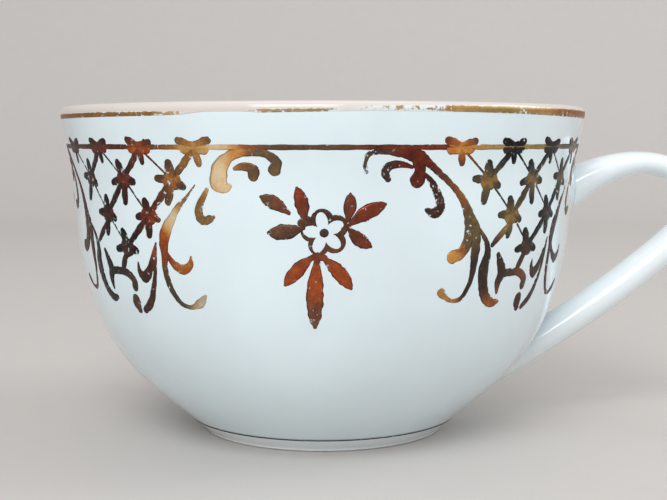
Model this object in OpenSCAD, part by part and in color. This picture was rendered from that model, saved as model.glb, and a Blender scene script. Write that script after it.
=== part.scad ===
// Porcelain coffee cup: a thin bowl on a low foot ring, a luted ear handle and fired gold ornament.
// The axis of the cup is Z and the standing face is z = 0. The handle points to +X, and the front,
// seen with the handle on the right, faces -Y. Lengths are in millimetres and angles in degrees.

/* [Bowl] */
// Diameter over the rim
rim_d = 86; // [80:0.5:96]
// Height from the standing face to the top of the lip
cup_h = 53.4; // [50:0.2:60]
// How far the rim stands out past the belly, where the wall is most upright
rim_flare = 1.9; // [0:0.1:4]
// Height of the belly
belly_z = 40; // [37:0.5:42]
// Outward lean of the wall at that height
belly_lean = 2; // [0:0.5:6]
// Outward lean of the wall at the rim
rim_lean = 8; // [0:0.5:14]
// Angle above level at which the bowl leaves the foot
foot_rise = 42; // [36:1:46]
// Length over which the bottom curve keeps to that angle
bottom_pull = 10.5; // [8:0.5:14]
// Length over which the curve below the belly keeps to its lean
belly_pull = 26; // [20:0.5:29]
// Length over which the curve above the belly keeps to its leans
neck_pull = 5.5; // [3:0.5:7]
// Thickness of the wall beside the foot
wall_t = 2.8; // [2:0.1:3.6]
// Thickness of the rounded lip
lip_t = 2; // [1.4:0.1:2.8]
// Thickness of the floor at the middle
floor_t = 2.6; // [2:0.1:4]
// Height over which the inside of the wall runs out into the floor
floor_blend = 3; // [1:0.1:5]
// Rise of the underside from the foot to the middle
under_rise = 0.6; // [0.2:0.1:1.2]

/* [Foot ring] */
// Height of the foot ring
foot_h = 2.4; // [1.8:0.1:4]
// Diameter of the foot ring where it meets the bowl
joint_d = 45.2; // [42:0.2:48]
// Outer diameter of the standing face
stand_d = 39.8; // [36:0.2:41]
// Width of the standing face
stand_w = 1.6; // [1:0.1:2.4]
// Inner diameter of the foot ring where it meets the bowl
recess_d = 33; // [30:0.2:35]
// Height of the rounded edge beside the standing face
stand_edge = 0.4; // [0.2:0.05:0.6]

/* [Handle] */
// How far the handle stands out past the rim
handle_out = 22.4; // [19:0.2:26]
// Distance from the top of the lip down to the handle's outermost point
nose_drop = 16.8; // [15:0.2:18.4]
// Distance from the top of the lip down to where the upper arm enters the wall
upper_root_drop = 15.3; // [14.6:0.1:17]
// Angle at which the upper arm rises from the wall
upper_rise = 34.5; // [28:0.5:40]
// Length over which the upper arm keeps to that angle
upper_pull = 22; // [19:0.5:25]
// Height at which the lower arm enters the bowl
lower_root_z = 8.4; // [8:0.2:9.4]
// Angle at which the lower arm rises from the bowl
lower_rise = 16; // [12:1:20]
// Length over which the lower arm keeps to that angle
lower_pull = 12.5; // [10:0.5:15]
// Length of the bend above and below the outermost point
nose_pull = 4.4; // [3.6:0.2:6]
// Thickness of the upper arm, in the plane of the handle
upper_arm_t = 3.8; // [3.4:0.1:4.6]
// Thickness of the lower arm, in the plane of the handle
lower_arm_t = 5.4; // [4.4:0.1:6]
// Width of the arms across the plane of the handle
arm_w = 7; // [5.5:0.1:9]
// Thickness added at the upper root
upper_flare = 3.7; // [2.5:0.1:5]
// Thickness added at the lower root
lower_flare = 2.2; // [1.5:0.1:2.6]
// Width added at both roots
root_flare_w = 3.5; // [1:0.1:5]
// Thickness of the luting slip between a root and the wall
slip_t = 0.3; // [0.2:0.05:0.6]
// How far the slip stands out round a root
slip_bead = 0.5; // [0.2:0.05:0.8]

/* [Gold] */
// Thickness of the fired gold
gold_t = 0.1; // [0.05:0.01:0.15]
// Height of the gilding on the outside of the rim
rim_gilt_h = 2.2; // [1.1:0.05:3]
// How far the gilding turns over the lip, from level on the outside
rim_gilt_turn = 110; // [90:5:150]
// Distance from the top of the lip to the middle of the border line
border_drop = 6.2; // [5.5:0.1:7]
// Width of the border line
border_w = 0.75; // [0.5:0.05:1.1]
// Width of the line at the top of the foot ring
foot_line_w = 0.3; // [0.2:0.05:0.6]
// Turn of the front trellises from the front
front_panel_turn = 46; // [44:0.5:46]
// Shift of both front trellises towards the handle
front_panel_shift = 1; // [-1:0.5:1.5]
// Turn of the back trellises from the back
back_panel_turn = 45; // [43:0.5:46]
// Angle between the florets of one row
floret_pitch = 13.2; // [12:0.2:14]
// Reach of a floret's longest petal, which hangs down
floret_r = 3.6; // [3:0.1:4]
// Radius of a floret's middle
floret_core_r = 1.2; // [0.8:0.05:1.4]
// Width of the fine trellis bars, which fall to the right
fine_bar_w = 0.4; // [0.25:0.05:0.6]
// Width of the broad trellis bars, which fall to the left
broad_bar_w = 1.1; // [0.6:0.05:1.3]
// Reach of the spray flower's outline
flower_r = 3.4; // [3:0.1:3.7]
// Width of that outline at the tips of the petals
flower_line_w = 0.45; // [0.3:0.05:0.8]
// Radius of the dot in the spray flower
flower_eye_r = 0.6; // [0.4:0.05:0.9]
// Width of a spray leaf
leaf_w = 1.9; // [1.4:0.1:2.2]
// Distance from the border line down to the lowest tip of the ornament
ornament_h = 24.6; // [22:0.2:25.4]

/* [Hidden] */

$fn = 96;
bottom_steps = 20;
neck_steps = 6;
lip_steps = 10;
dish_steps = 8;
ring_sides = 20;
arm_steps = 22;
root_steps = 6;
span_steps = 4;
end_steps = 8;
dot_sides = 14;
leaf_steps = 10;
petal_points = 40;
porcelain = "#e4eaee";
slip_white = "#d3dade";
gold = "#8a5526";

// Point and direction of a cubic curve between p[0] and p[3]
function curve(p, t) =
    pow(1 - t, 3) * p[0] + 3 * t * pow(1 - t, 2) * p[1] + 3 * t * t * (1 - t) * p[2] + pow(t, 3) * p[3];
function curve_dir(p, t) = unit(
    pow(1 - t, 2) * (p[1] - p[0]) + 2 * t * (1 - t) * (p[2] - p[1]) + t * t * (p[3] - p[2]));
function unit(v) = v / norm(v);
// A quarter turn to the left of a direction
function left(d) = [-d.y, d.x];
function up_at(angle) = [cos(angle), sin(angle)];
function lean_dir(lean) = [sin(lean), cos(lean)];
function reversed(list) = [for (i = [len(list) - 1 : -1 : 0]) list[i]];

// The outer wall is two curves, foot to belly and belly to lip
belly_d = rim_d - 2 * rim_flare;
lip_mid = [rim_d / 2 - lip_t / 2, cup_h - lip_t / 2];
wall_top = lip_mid + lip_t / 2 * up_at(-rim_lean);
belly = [belly_d / 2, belly_z];
joint = [joint_d / 2, foot_h];
bottom_curve = [
    joint, joint + bottom_pull * up_at(foot_rise), belly - belly_pull * lean_dir(belly_lean), belly
];
neck_curve = [
    belly, belly + neck_pull * lean_dir(belly_lean), wall_top - neck_pull * lean_dir(rim_lean), wall_top
];
outer = concat(
    [for (i = [0 : bottom_steps]) curve(bottom_curve, i / bottom_steps)],
    [for (i = [1 : neck_steps]) curve(neck_curve, i / neck_steps)]);
outer_dirs = concat(
    [for (i = [0 : bottom_steps]) curve_dir(bottom_curve, i / bottom_steps)],
    [for (i = [1 : neck_steps]) curve_dir(neck_curve, i / neck_steps)]);
outer_last = len(outer) - 1;

// Radius of the outer wall at a height
wall_table = [for (p = outer) [p.y, p.x]];
function wall_r(z) = lookup(z, wall_table);

// The outer wall moved outwards by g
function grown(g) = [for (i = [0 : outer_last]) outer[i] - g * left(outer_dirs[i])];

// The inside follows the outer wall at a thickness that falls from the foot to the lip,
// then runs out into a shallow dish
floor_z = foot_h + under_rise + floor_t;
wall_inside = [for (i = [0 : outer_last])
    outer[i] + (wall_t + (lip_t - wall_t) * i / outer_last) * left(outer_dirs[i])];
dish_from = [for (i = [0 : outer_last]) if (wall_inside[i].y > floor_z + floor_blend) i][0];
dish_edge = wall_inside[dish_from];
dish_slope = outer_dirs[dish_from];
dish_turn = dish_edge - dish_slope * (dish_edge.y - floor_z) / dish_slope.y;
function dish(t) = pow(1 - t, 2) * dish_edge + 2 * t * (1 - t) * dish_turn + t * t * [0, floor_z];

lip_arc = [for (i = [1 : lip_steps - 1]) lip_mid + lip_t / 2 * up_at(180 * i / lip_steps - rim_lean)];
function underside(t) = [recess_d / 2 * t, foot_h + under_rise * (1 - t * t)];

bowl_outline = concat(
    [for (i = [0 : dish_steps]) underside(i / dish_steps)],
    outer,
    lip_arc,
    reversed([for (i = [dish_from : outer_last]) wall_inside[i]]),
    [for (i = [1 : dish_steps]) dish(i / dish_steps)]);

module bowl() {
    color(porcelain) rotate_extrude() polygon(bowl_outline);
}

// Foot ring, seated flat under the bowl, with a bare standing face
stand_r = stand_d / 2;
function foot_wall_r(z) = lookup(z, [[stand_edge, stand_r + stand_edge], [foot_h, joint_d / 2]]);

module foot_ring() {
    color(porcelain) rotate_extrude() polygon([
        [recess_d / 2, foot_h],
        [stand_r - stand_w - stand_edge, stand_edge],
        [stand_r - stand_w, 0],
        [stand_r, 0],
        [foot_wall_r(stand_edge), stand_edge],
        [joint_d / 2, foot_h]
    ]);
}

// Shares of the handle's length: its flared roots, its slip layers and where it thickens
upper_root_share = 0.22;
lower_root_share = 0.2;
lower_slip_share = 0.3;
thickening = [0.3, 0.75];
nose_share = 0.5;

// Handle centre line: from inside the wall over the upper arm to the nose, and back down the lower arm.
// The lower arm meets the wall at a slant, so it starts deeper.
upper_depth = wall_t;
lower_depth = 2 * wall_t;
nose = [rim_d / 2 + handle_out - arm_thickness(nose_share) / 2, cup_h - nose_drop];
upper_root_z = cup_h - upper_root_drop;
upper_root = [wall_r(upper_root_z) - upper_depth, upper_root_z];
lower_root = [wall_r(lower_root_z) - lower_depth, lower_root_z];
upper_arm = [upper_root, upper_root + upper_pull * up_at(upper_rise), nose + [0, nose_pull], nose];
lower_arm = [nose, nose - [0, nose_pull], lower_root + lower_pull * up_at(lower_rise), lower_root];

// u runs from 0 at the upper root over the nose to 1 at the lower root
function arm_mid(u) = u < nose_share ? curve(upper_arm, u / nose_share)
    : curve(lower_arm, (u - nose_share) / (1 - nose_share));
function arm_dir(u) = u < nose_share ? curve_dir(upper_arm, u / nose_share)
    : curve_dir(lower_arm, (u - nose_share) / (1 - nose_share));
function eased(x) = x <= 0 ? 0 : x >= 1 ? 1 : x * x * (3 - 2 * x);
function upper_swell(u) = pow(max(0, 1 - u / upper_root_share), 2);
function lower_swell(u) = pow(max(0, 1 - (1 - u) / lower_root_share), 2);
function arm_thickness(u) = upper_arm_t
    + (lower_arm_t - upper_arm_t) * eased((u - thickening[0]) / (thickening[1] - thickening[0]))
    + upper_flare * upper_swell(u) + lower_flare * lower_swell(u);
function arm_width(u) = arm_w + root_flare_w * (upper_swell(u) + lower_swell(u));

// An oval ring round the centre line, grown by g
function arm_ring(u, g) = let (c = arm_mid(u), n = left(arm_dir(u)))
    [for (i = [0 : ring_sides - 1]) let (a = 360 * i / ring_sides,
                                         h = (arm_thickness(u) / 2 + g) * cos(a))
        [c.x + h * n.x, (arm_width(u) / 2 + g) * sin(a), c.y + h * n.y]];

// Solid through rings of equal count, closed at both ends
module loft(rings) {
    count = len(rings);
    sides = len(rings[0]);
    points = [for (ring = rings) for (p = ring) p];
    skin = [for (j = [0 : count - 2]) for (i = [0 : sides - 1])
        let (a = j * sides + i, b = j * sides + (i + 1) % sides)
        for (face = [[a, a + sides, b], [b, a + sides, b + sides]]) face];
    start = [for (i = [0 : sides - 1]) i];
    end = [for (i = [sides - 1 : -1 : 0]) (count - 1) * sides + i];
    polyhedron(points, concat([start], skin, [end]), convexity = 6);
}

module arm(u0, u1, steps, g = 0) {
    loft([for (i = [0 : steps]) arm_ring(u0 + (u1 - u0) * i / steps, g)]);
}

// The bowl filled to its outer wall, grown by g
module bowl_blank(g) {
    skin = grown(g);
    rotate_extrude() polygon(concat([[0, skin[0].y]], skin, [[0, skin[outer_last].y]]));
}

module handle() {
    color(porcelain) difference() {
        arm(0, 1, 2 * arm_steps);
        bowl_blank(slip_t);
    }
}

// Layer of slip between a root and the wall
module root_slip(u0, u1) {
    color(slip_white) intersection() {
        arm(u0, u1, root_steps, slip_bead);
        rotate_extrude() polygon(concat(outer, reversed(grown(slip_t))));
    }
}

module handle_upper_slip() {
    root_slip(0, upper_root_share);
}

module handle_lower_slip() {
    root_slip(1 - lower_slip_share, 1);
}

// Gold on the outer wall between two heights, as an outline to turn about the axis
function wall_heights(z0, z1) = concat([z0], [for (p = outer) if (p.y > z0 && p.y < z1) p.y], [z1]);
function wall_band(z0, z1) = let (heights = wall_heights(z0, z1)) concat(
    [for (z = heights) [wall_r(z), z]],
    reversed([for (z = heights) [wall_r(z) + gold_t, z]]));

// Gilding: up the outside of the rim and over the lip
rim_gilt_z = cup_h - rim_gilt_h;
// Only the lip's own corners up to the turn, so that the gold lies on its facets
lip_corners = concat([wall_top],
    [for (i = [1 : lip_steps - 1]) if (180 * i / lip_steps - rim_lean <= rim_gilt_turn) lip_arc[i - 1]]);

module rim_gilding() {
    wall_part = [for (z = wall_heights(rim_gilt_z, wall_top.y)) [wall_r(z), z]];
    inside = concat([for (i = [0 : len(wall_part) - 2]) wall_part[i]], lip_corners);
    outside = concat(
        [for (i = [0 : len(wall_part) - 2]) wall_part[i] + [gold_t, 0]],
        [for (p = lip_corners) p + gold_t * unit(p - lip_mid)]);
    color(gold) rotate_extrude() polygon(concat(inside, reversed(outside)));
}

// Border line round the wall below the rim
border_z = cup_h - border_drop;

module border_line() {
    color(gold) rotate_extrude() polygon(wall_band(border_z - border_w / 2, border_z + border_w / 2));
}

// Fine line at the top of the foot ring
module foot_line() {
    low = foot_h - foot_line_w;
    color(gold) rotate_extrude() polygon([
        [foot_wall_r(low), low], joint, joint + [gold_t, 0], [foot_wall_r(low) + gold_t, low]
    ]);
}

// Transfers are drawn flat: degrees round the cup from their middle, and heights from the border line,
// positive upwards. Heights and widths are drawn for an ornament 24.6 high, and follow its real height.
drawn = ornament_h / 24.6;
transfer_top = 4 * drawn;
transfer_drop = 26 * drawn;
row_drops = [0, -4.3, -9.8, -14.8];
last_row = len(row_drops) - 1;
// Petals of a floret on the border line and of one that hangs below it: direction, and share of the reach
line_petals = [[156, 0.8], [20, 0.76], [280, 0.74]];
hung_petals = [[104, 0.8], [186, 0.8], [-20, 0.7], [264, 1]];
petal_narrowness = 8;
bar_gap = 0.15 * drawn;
flower_mid = [0, -11.6];
flower_petals = 5;
outline_depth = 0.14;
white_depth = 0.25;
flower_turn = 101;
leaf_gap = 0.5 * drawn;
leaf_point = 0.08;
leaf_fullness = 0.75;
small_leaf_w = 0.9 * leaf_w;
long_leaf_w = 1.25 * leaf_w;
drop_w = 1.5 * drawn;
end_clear = 1.05;
deg_mm = wall_r(border_z - transfer_drop / 2) * PI / 180;
function flat(p) = [p.x * deg_mm, p.y * drawn];
function on_wall(q) = [wall_r(border_z + q.y) * sin(q.x / deg_mm), border_z + q.y];

module patch(outline) {
    polygon([for (q = outline) on_wall(q)]);
}

// A smooth line through points, each with its width as a third value
function through(p, i, t) = let (
        a = p[max(i - 1, 0)], b = p[i], c = p[i + 1], d = p[min(i + 2, len(p) - 1)])
    0.5 * (2 * b + (c - a) * t + (2 * a - 5 * b + 4 * c - d) * t * t
        + (3 * b - 3 * c + d - a) * pow(t, 3));
function smooth(p) = concat(
    [for (i = [0 : len(p) - 2]) for (k = [0 : span_steps - 1]) through(p, i, k / span_steps)],
    [p[len(p) - 1]]);

// Outline of a brush stroke along such a line, with round ends of radius r0 at its start and r1 at its end
function flat_dir(line, i) = let (a = line[max(i - 1, 0)], b = line[min(i + 1, len(line) - 1)])
    unit([b.x - a.x, b.y - a.y]);
function spot(line, i) = [line[i].x, line[i].y];
function stroke_side(line, way, r0, r1) = [for (i = [0 : len(line) - 1])
    let (q = spot(line, i) + way * line[i].z / 2 * left(flat_dir(line, i)))
    if (norm(q - spot(line, 0)) > end_clear * r0
        && norm(q - spot(line, len(line) - 1)) > end_clear * r1) q];
function round_end(c, dir, w, r) = let (open = asin(min(w / 2 / r, 1)))
    [for (i = [0 : end_steps]) let (a = (180 - open) * (1 - 2 * i / end_steps))
        c + r * (cos(a) * dir + sin(a) * left(dir))];

module stroke(p, drawn_r0, drawn_r1) {
    r0 = drawn_r0 * drawn;
    r1 = drawn_r1 * drawn;
    line = smooth([for (q = p) [q.x * deg_mm, q.y * drawn, q.z * drawn]]);
    last = len(line) - 1;
    patch(concat(
        stroke_side(line, 1, r0, r1),
        round_end(spot(line, last), flat_dir(line, last), line[last].z, r1),
        reversed(stroke_side(line, -1, r0, r1)),
        round_end(spot(line, 0), -flat_dir(line, 0), line[0].z, r0)));
}

// Round dot
module dot(p, r) {
    patch([for (i = [0 : dot_sides - 1]) flat(p) + r * up_at(360 * i / dot_sides)]);
}

// Pointed oval leaf that grows from a base towards a tip, starting a little way off
module leaf(base, tip, w) {
    a = flat(base) + leaf_gap * unit(flat(tip) - flat(base));
    b = flat(tip);
    side = w / 2 * left(unit(b - a));
    steps = [for (i = [0 : leaf_steps]) i / leaf_steps];
    function swell(s) = max(pow(sin(180 * s), leaf_fullness), leaf_point);
    patch(concat(
        [for (s = steps) a + (b - a) * s + side * swell(s)],
        reversed([for (s = steps) a + (b - a) * s - side * swell(s)])));
}

// Flower of equal round petals about a middle
function petals(c, r, count, depth, turn) = [for (i = [0 : petal_points - 1])
    let (a = 360 * i / petal_points) c + r * (1 - depth + depth * cos(count * (a - turn))) * up_at(a)];

// Floret of unlike petals round a middle, and its reach in one direction
function floret_petals(row) = row == 0 ? line_petals : hung_petals;
function total(list) = [for (v = list) 1] * list;
function floret_reach(row, angle) = floret_core_r + total([for (petal = floret_petals(row))
    (petal[1] * floret_r - floret_core_r) * pow(max(0, cos(angle - petal[0])), petal_narrowness)]);
function floret(row, c) = [for (i = [0 : petal_points - 1])
    let (a = 360 * i / petal_points) c + floret_reach(row, a) * up_at(a)];

// A flat pattern wrapped on the wall in gold, kept clear of the border line. It is cut from a thin
// skin of the near wall by an upright punch, which starts half way out from the axis.
module transfer(turn) {
    reach = rim_d / 2 + 2 * gold_t;
    punch_from = belly_d / 4;
    rotate([0, 0, turn]) intersection() {
        rotate_extrude() polygon(wall_band(border_z - transfer_drop, border_z + transfer_top));
        rotate([90, 0, 0]) translate([0, 0, punch_from]) linear_extrude(reach) difference() {
            union() children();
            translate([-reach, border_z - border_w / 2]) square([2 * reach, border_w]);
        }
    }
}

// Trellis: rows of florets that hang from the border line in a point, with bars between them
function floret_at(row, k) = [(k - (last_row - row) / 2) * floret_pitch, row_drops[row]];
function bar_start(row, dir, w) = bar_gap + w / 2 + floret_reach(row, atan2(dir.y, dir.x));

// Bar from a floret to one in the next row
module bar(row, k, next_k, w) {
    a = flat(floret_at(row, k));
    b = flat(floret_at(row + 1, next_k));
    dir = unit(b - a);
    side = w / 2 * left(dir);
    p = a + bar_start(row, dir, w) * dir;
    q = b - bar_start(row + 1, -dir, w) * dir;
    patch([p - side, q - side, q + side, p + side]);
}

module trellis(turn) {
    color(gold) transfer(turn) {
        for (row = [0 : last_row]) for (k = [0 : last_row - row])
            patch(floret(row, flat(floret_at(row, k))));
        for (row = [0 : last_row - 1]) for (k = [0 : last_row - 1 - row]) {
            bar(row, k, k, fine_bar_w);
            bar(row, k + 1, k, broad_bar_w);
        }
        // Pendant under the point: a leg, an arch and a drop
        stroke([[-8.6, -15.4, 0.4], [-7.9, -17.2, 1.2], [-7.2, -18.8, 1.4], [-7.4, -21, 0.4]], 0.2, 0.2);
        stroke([[-5.4, -18.7, 0.7], [-3, -18.3, 0.9], [0, -18.7, 1], [1.5, -19.9, 0.9], [1.1, -21, 0.5]],
            0.35, 0.25);
        leaf([0.4, -21.2], [0.9, -24.3], drop_w);
    }
}

// Scrolls at the left of a trellis
module left_scrolls(turn) {
    color(gold) transfer(turn) {
        // C-scroll under the border line, with its curls
        stroke([[-23.4, -3.9, 0.3], [-26, -2.6, 0.8], [-28.4, -1.8, 1.1], [-31, -1.3, 1.2],
            [-34.8, -1.1, 0.9], [-37.8, -1.2, 0.7], [-39.1, -2, 0.6], [-38.9, -3.1, 0.6]], 0.15, 0.55);
        stroke([[-28.8, -2.8, 0.5], [-28.3, -3.6, 0.7], [-28.7, -4.8, 0.7]], 0.25, 0.85);
        stroke([[-30, -2.8, 0.4], [-31.8, -2.6, 0.7], [-34, -2.5, 0.8], [-35.2, -3.2, 0.8],
            [-34.7, -4.1, 0.6]], 0.2, 0.6);
        stroke([[-26.8, -4.2, 0.4], [-24.6, -6, 0.8], [-23.6, -7.8, 1], [-24.3, -9, 0.9], [-25.5, -9, 0.8]],
            0.2, 0.8);
        // Long scrolls down the side of the trellis
        stroke([[-21.6, -5.3, 0.2], [-19.3, -7.2, 0.7], [-17.2, -9.6, 1.2], [-16.8, -12.4, 1.1],
            [-17.8, -14.7, 1], [-20.2, -15.4, 0.8]], 0.1, 0.85);
        stroke([[-15, -8.8, 0.3], [-14.6, -10.8, 0.8], [-14.4, -13.6, 1], [-14.9, -16.4, 0.9],
            [-15.8, -18.8, 0.8], [-17.8, -21.1, 0.6], [-20.6, -21.7, 0.5], [-22.4, -20.6, 0.5]], 0.15, 0.65);
        stroke([[-13.3, -11.2, 0.4], [-12.4, -13, 0.8], [-12.1, -15.4, 1.2], [-12.1, -18.4, 1.1],
            [-10.9, -21.2, 0.9], [-8.7, -22.7, 0.8]], 0.2, 0.75);
    }
}

// Scrolls at the right of a trellis
module right_scrolls(turn) {
    color(gold) transfer(turn) {
        // C-scroll under the border line, with its curls
        stroke([[35.8, -2.9, 0.8], [36.4, -1.9, 0.8], [34.6, -1.1, 0.8], [30.6, -1.2, 1], [26.9, -1.6, 1.3],
            [24.8, -3, 1.5], [24.4, -4.5, 1.4], [25.6, -5.5, 1.2], [26.9, -5.4, 1]], 0.8, 0.7);
        stroke([[27.9, -2.9, 0.4], [30.2, -2.6, 0.7], [31.9, -2.9, 0.8], [32, -3.8, 0.7]], 0.2, 0.8);
        stroke([[22.2, -5.8, 0.4], [20.9, -7.2, 0.9], [20.2, -8.7, 1], [20.9, -9.9, 0.9], [22.3, -10, 0.8]],
            0.2, 0.75);
        // Long scrolls down the side of the trellis
        stroke([[19.7, -5.2, 0.2], [17.2, -7.2, 0.5], [15.2, -8.8, 1], [12.9, -11.2, 1.2], [11.5, -13.8, 1.4],
            [11.1, -16.4, 1], [11.9, -19, 0.7], [13.9, -21.9, 0.7], [16.6, -22.7, 0.5], [19.4, -21.9, 0.5]],
            0.1, 0.65);
        stroke([[13, -14.6, 0.3], [13.3, -16, 0.7], [14.9, -17.1, 1], [16.8, -16.8, 0.9], [17.8, -15.2, 0.3]],
            0.15, 0.15);
        stroke([[9.4, -13.6, 0.3], [8.2, -16, 1], [7.4, -18.6, 1], [6.8, -21.2, 0.9], [4.8, -23.5, 0.8]],
            0.15, 0.7);
        stroke([[3.6, -16.6, 0.3], [3.2, -17.9, 0.7], [4.4, -19, 0.7]], 0.15, 0.55);
    }
}

// Flower spray: an outlined flower with leaves in three groups
module spray(turn) {
    color(gold) transfer(turn) {
        difference() {
            patch(petals(flat(flower_mid), flower_r, flower_petals, outline_depth, flower_turn));
            patch(petals(flat(flower_mid), flower_r - flower_line_w, flower_petals, white_depth, flower_turn));
        }
        dot(flower_mid, flower_eye_r);
        leaf([-4.2, -10], [-4.9, -5.5], leaf_w);
        leaf([-4.7, -11.1], [-10.2, -11.7], long_leaf_w);
        leaf([-6.4, -8.9], [-11.7, -6.7], small_leaf_w);
        leaf([4.6, -9.9], [5.1, -6.3], leaf_w);
        leaf([5.3, -10.3], [11.7, -7.7], leaf_w);
        leaf([4.6, -11.1], [9.1, -13.5], small_leaf_w);
        leaf([-1.9, -14.8], [-7.3, -18.8], leaf_w);
        leaf([-1, -14.9], [-1.7, -24.6], long_leaf_w);
        leaf([0, -14.9], [5.4, -19.2], leaf_w);
    }
}

front_left = front_panel_shift - front_panel_turn;
front_right = front_panel_shift + front_panel_turn;
back_right = 180 - back_panel_turn;
back_left = 180 + back_panel_turn;

bowl();
foot_ring();
handle();
handle_upper_slip();
handle_lower_slip();
rim_gilding();
border_line();
foot_line();
trellis(front_left);  // front_left_trellis
left_scrolls(front_left);  // front_left_scrolls_left
right_scrolls(front_left);  // front_left_scrolls_right
trellis(front_right);  // front_right_trellis
left_scrolls(front_right);  // front_right_scrolls_left
right_scrolls(front_right);  // front_right_scrolls_right
trellis(back_right);  // back_right_trellis
left_scrolls(back_right);  // back_right_scrolls_left
right_scrolls(back_right);  // back_right_scrolls_right
trellis(back_left);  // back_left_trellis
left_scrolls(back_left);  // back_left_scrolls_left
right_scrolls(back_left);  // back_left_scrolls_right
spray(0);  // front_spray
spray(180);  // back_spray
spray(270);  // left_spray
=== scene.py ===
"""A low porcelain coffee cup with an ear handle and worn gold ornament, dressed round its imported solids.

Lengths are metres. A place on the wall is a turn in degrees from the front towards the handle and a height.
"""

import bpy
import numpy as np
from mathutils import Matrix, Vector


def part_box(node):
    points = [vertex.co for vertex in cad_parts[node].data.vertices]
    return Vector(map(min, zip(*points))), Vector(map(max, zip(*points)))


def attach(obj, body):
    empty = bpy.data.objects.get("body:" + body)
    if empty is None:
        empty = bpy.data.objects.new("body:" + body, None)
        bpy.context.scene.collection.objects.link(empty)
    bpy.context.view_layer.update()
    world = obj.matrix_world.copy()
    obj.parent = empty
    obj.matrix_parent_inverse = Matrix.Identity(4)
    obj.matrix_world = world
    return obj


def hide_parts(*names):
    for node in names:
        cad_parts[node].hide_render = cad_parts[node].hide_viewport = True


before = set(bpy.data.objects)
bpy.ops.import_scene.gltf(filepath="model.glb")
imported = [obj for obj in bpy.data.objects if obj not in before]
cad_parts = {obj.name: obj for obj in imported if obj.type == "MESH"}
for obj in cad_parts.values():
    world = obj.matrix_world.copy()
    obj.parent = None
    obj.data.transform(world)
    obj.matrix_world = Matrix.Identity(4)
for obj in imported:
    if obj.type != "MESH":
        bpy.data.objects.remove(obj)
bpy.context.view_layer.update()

# Bowl
# White porcelain, roller-formed in a mould: a round wall that thins to a rounded lip, a dished floor and a
# slightly raised underside. It is fired once, then coated inside and out with a clear glaze and fired again.
mm = 0.001
bowl_low, bowl_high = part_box("bowl")
rim_r, lip_z, foot_z = bowl_high.y, bowl_high.z, bowl_low.z
lip_t, wall_t, floor_t = 2 * mm, 2.8 * mm, 2.6 * mm
floor_blend, under_rise = 3 * mm, 0.6 * mm
belly_inset, belly_z = 1.9 * mm, 40 * mm
joint_r, recess_r = 22.6 * mm, 16.5 * mm
belly_lean, rim_lean, foot_rise = np.radians([2, 8, 42])
bottom_pull, belly_pull, neck_pull = 10.5 * mm, 26 * mm, 5.5 * mm
wall_rows, neck_rows, lip_rows, floor_rows = 64, 28, 18, 26
cool_white, soft_white = (0.76, 0.885, 0.925, 1), (0.71, 0.82, 0.86, 1)
iron_grey = (0.16, 0.15, 0.14, 1)
# Porcelain: clouds in its white, iron specks, ripple and gloss of the glaze, glow of the body, clear coat
cloud_size, cloud_from, cloud_full = 24 * mm, 0.35, 0.7
speck_pitch, speck_rare, speck_r, speck_core = 5 * mm, 0.9, 0.15 * mm, 0.06 * mm
ripple_size, ripple_depth, ripple_strength = 3.5 * mm, 0.02 * mm, 0.12
glaze_smooth, glaze_dull = 0.10, 0.18
glow_share, glow_depth = 0.06, 1.2 * mm
coat_share, coat_rough = 0.5, 0.03


def towards(angle):
    """Radius and height of a step of length one at that angle above level."""
    return np.array([np.cos(angle), np.sin(angle)])


def curve(start, leave, arrive, end, count):
    """Cubic curve of count points from start to end, leaving towards one point and arriving from another."""
    t = np.linspace(0, 1, count)[:, None]
    return (1 - t) ** 3 * start + 3 * t * (1 - t) ** 2 * leave + 3 * t**2 * (1 - t) * arrive + t**3 * end


def along(line):
    """Direction of a line at each of its points: the step between its neighbours, made one long."""
    step = np.gradient(line, axis=0)
    return step / np.linalg.norm(step, axis=1, keepdims=True)


joint, belly = np.array([joint_r, foot_z]), np.array([rim_r - belly_inset, belly_z])
lip_mid = np.array([rim_r - lip_t / 2, lip_z - lip_t / 2])
wall_top = lip_mid + lip_t / 2 * towards(-rim_lean)
upright = np.pi / 2
outer = np.vstack([
    curve(joint, joint + bottom_pull * towards(foot_rise),
          belly - belly_pull * towards(upright - belly_lean), belly, wall_rows),
    curve(belly, belly + neck_pull * towards(upright - belly_lean),
          wall_top - neck_pull * towards(upright - rim_lean), wall_top, neck_rows)[1:],
])
outer_dir = along(outer)
outward = np.stack([outer_dir[:, 1], -outer_dir[:, 0]], axis=1)
lip_angles = np.linspace(0, np.pi, lip_rows)[1:-1, None] - rim_lean
lip_arc = lip_mid + lip_t / 2 * np.hstack([np.cos(lip_angles), np.sin(lip_angles)])
wall_inside = outer - outward * np.linspace(wall_t, lip_t, len(outer))[:, None]
floor_z = foot_z + under_rise + floor_t
wall_inside = wall_inside[wall_inside[:, 1] > floor_z + floor_blend]
dish_slope = along(wall_inside)[0]
dish_turn = wall_inside[0] - dish_slope * (wall_inside[0, 1] - floor_z) / dish_slope[1]
s = np.linspace(0, 1, floor_rows)[1:-1, None]
dish = (1 - s) ** 2 * wall_inside[0] + 2 * s * (1 - s) * dish_turn + s**2 * np.array([0, floor_z])
underside = np.hstack([recess_r * s, foot_z + under_rise * (1 - s**2)])
bowl_profile = np.vstack([underside, [[recess_r, foot_z]], outer, lip_arc, wall_inside[::-1], dish])


def turned(profile, count=288):
    """A profile of radius and height carried round the cup's axis, as a grid with one ring in each row."""
    turn = np.linspace(0, 2 * np.pi, count, endpoint=False)
    radius, height = profile[:, :1], profile[:, 1:]
    return np.stack([radius * np.sin(turn), -radius * np.cos(turn), height + 0 * turn], axis=-1)


def closed(grid):
    """A grid whose last ring leads back to its first one."""
    return np.concatenate([grid, grid[:1]])


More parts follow.
